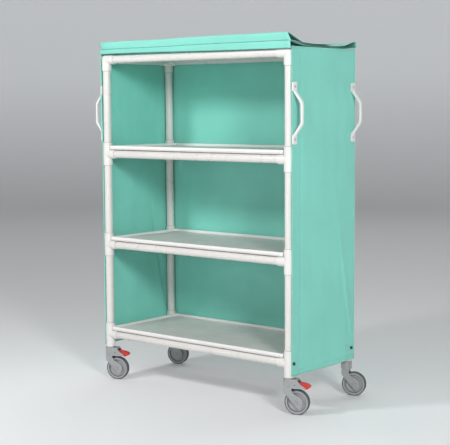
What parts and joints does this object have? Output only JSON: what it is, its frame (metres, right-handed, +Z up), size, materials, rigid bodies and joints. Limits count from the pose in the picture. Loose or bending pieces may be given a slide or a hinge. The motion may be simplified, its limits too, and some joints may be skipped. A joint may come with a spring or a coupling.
{
  "type": "linen trolley",
  "caption": "Open-front pipe-frame linen trolley with tray shelves, a fabric cover whose front flap is folded on the roof, side pull handles and swivel casters.",
  "frame": {"origin": "on the floor, at the centre of the four posts", "axes": "+Z up, +X along the shelves to the right as seen from the open front, -Y towards the open front"},
  "size_m": [1.4333, 0.5879, 1.868],
  "materials": {
    "pvc": "white moulded PVC, satin",
    "shelf_plastic": "light grey moulded plastic",
    "fabric": "mint green coated nylon",
    "fastener_black": "dark plastic",
    "steel": "zinc plated",
    "handle_plastic": "white moulded plastic",
    "caster_grey": "grey moulded plastic",
    "tread": "dark grey soft tread",
    "pedal_red": "red moulded plastic"
  },
  "bodies": {
    "frame": {"caster_stems": "steel", "cover_back": "fabric", "cover_fasteners": "fastener_black", "cover_flap": "fabric", "cover_left": "fabric", "cover_right": "fabric", "cover_top": "fabric", "fittings_bottom": "pvc", "fittings_middle": "pvc", "fittings_top": "pvc", "fittings_upper": "pvc", "handle_fl": "handle_plastic", "handle_fr": "handle_plastic", "handle_rl": "handle_plastic", "handle_rr": "handle_plastic", "handle_screws": "steel", "post_fl": "pvc", "post_fr": "pvc", "post_rl": "pvc", "post_rr": "pvc", "rail_front_bottom": "pvc", "rail_front_middle": "pvc", "rail_front_top": "pvc", "rail_front_upper": "pvc", "rail_rear_bottom": "pvc", "rail_rear_middle": "pvc", "rail_rear_top": "pvc", "rail_rear_upper": "pvc", "shelf_bottom": "shelf_plastic", "shelf_middle": "shelf_plastic", "shelf_upper": "shelf_plastic", "side_rails_bottom": "pvc", "side_rails_middle": "pvc", "side_rails_top": "pvc", "side_rails_upper": "pvc"},
    "caster_fl": {"fork_fl": "caster_grey", "axle_fl": "steel"},
    "wheel_fl": {"wheel_fl": "caster_grey", "tyre_fl": "tread"},
    "pedal_fl": {"pedal_fl": "pedal_red"},
    "caster_fr": {"fork_fr": "caster_grey", "axle_fr": "steel"},
    "wheel_fr": {"wheel_fr": "caster_grey", "tyre_fr": "tread"},
    "pedal_fr": {"pedal_fr": "pedal_red"},
    "caster_rl": {"fork_rl": "caster_grey", "axle_rl": "steel"},
    "wheel_rl": {"wheel_rl": "caster_grey", "tyre_rl": "tread"},
    "caster_rr": {"fork_rr": "caster_grey", "axle_rr": "steel"},
    "wheel_rr": {"wheel_rr": "caster_grey", "tyre_rr": "tread"}
  },
  "joints": [
    {"name": "swivel_fl", "type": "hinge", "parent": "frame", "child": "caster_fl", "pos_m": [-0.62, -0.25, 0.16], "axis": [0, 0, 1], "continuous": true},
    {"name": "roll_fl", "type": "hinge", "parent": "caster_fl", "child": "wheel_fl", "pos_m": [-0.58106, -0.23427, 0.0625], "axis": [-0.3746, 0.9272, 0], "continuous": true},
    {"name": "brake_fl", "type": "hinge", "parent": "caster_fl", "child": "pedal_fl", "pos_m": [-0.58848, -0.23726, 0.15], "axis": [-0.3746, 0.9272, 0], "range_deg": [0, 12]},
    {"name": "swivel_fr", "type": "hinge", "parent": "frame", "child": "caster_fr", "pos_m": [0.62, -0.25, 0.16], "axis": [0, 0, 1], "continuous": true},
    {"name": "roll_fr", "type": "hinge", "parent": "caster_fr", "child": "wheel_fr", "pos_m": [0.65894, -0.23427, 0.0625], "axis": [-0.3746, 0.9272, 0], "continuous": true},
    {"name": "brake_fr", "type": "hinge", "parent": "caster_fr", "child": "pedal_fr", "pos_m": [0.65152, -0.23726, 0.15], "axis": [-0.3746, 0.9272, 0], "range_deg": [0, 12]},
    {"name": "swivel_rl", "type": "hinge", "parent": "frame", "child": "caster_rl", "pos_m": [-0.62, 0.25, 0.16], "axis": [0, 0, 1], "continuous": true},
    {"name": "roll_rl", "type": "hinge", "parent": "caster_rl", "child": "wheel_rl", "pos_m": [-0.58106, 0.26573, 0.0625], "axis": [-0.3746, 0.9272, 0], "continuous": true},
    {"name": "swivel_rr", "type": "hinge", "parent": "frame", "child": "caster_rr", "pos_m": [0.62, 0.25, 0.16], "axis": [0, 0, 1], "continuous": true},
    {"name": "roll_rr", "type": "hinge", "parent": "caster_rr", "child": "wheel_rr", "pos_m": [0.65894, 0.26573, 0.0625], "axis": [-0.3746, 0.9272, 0], "continuous": true}
  ]
}
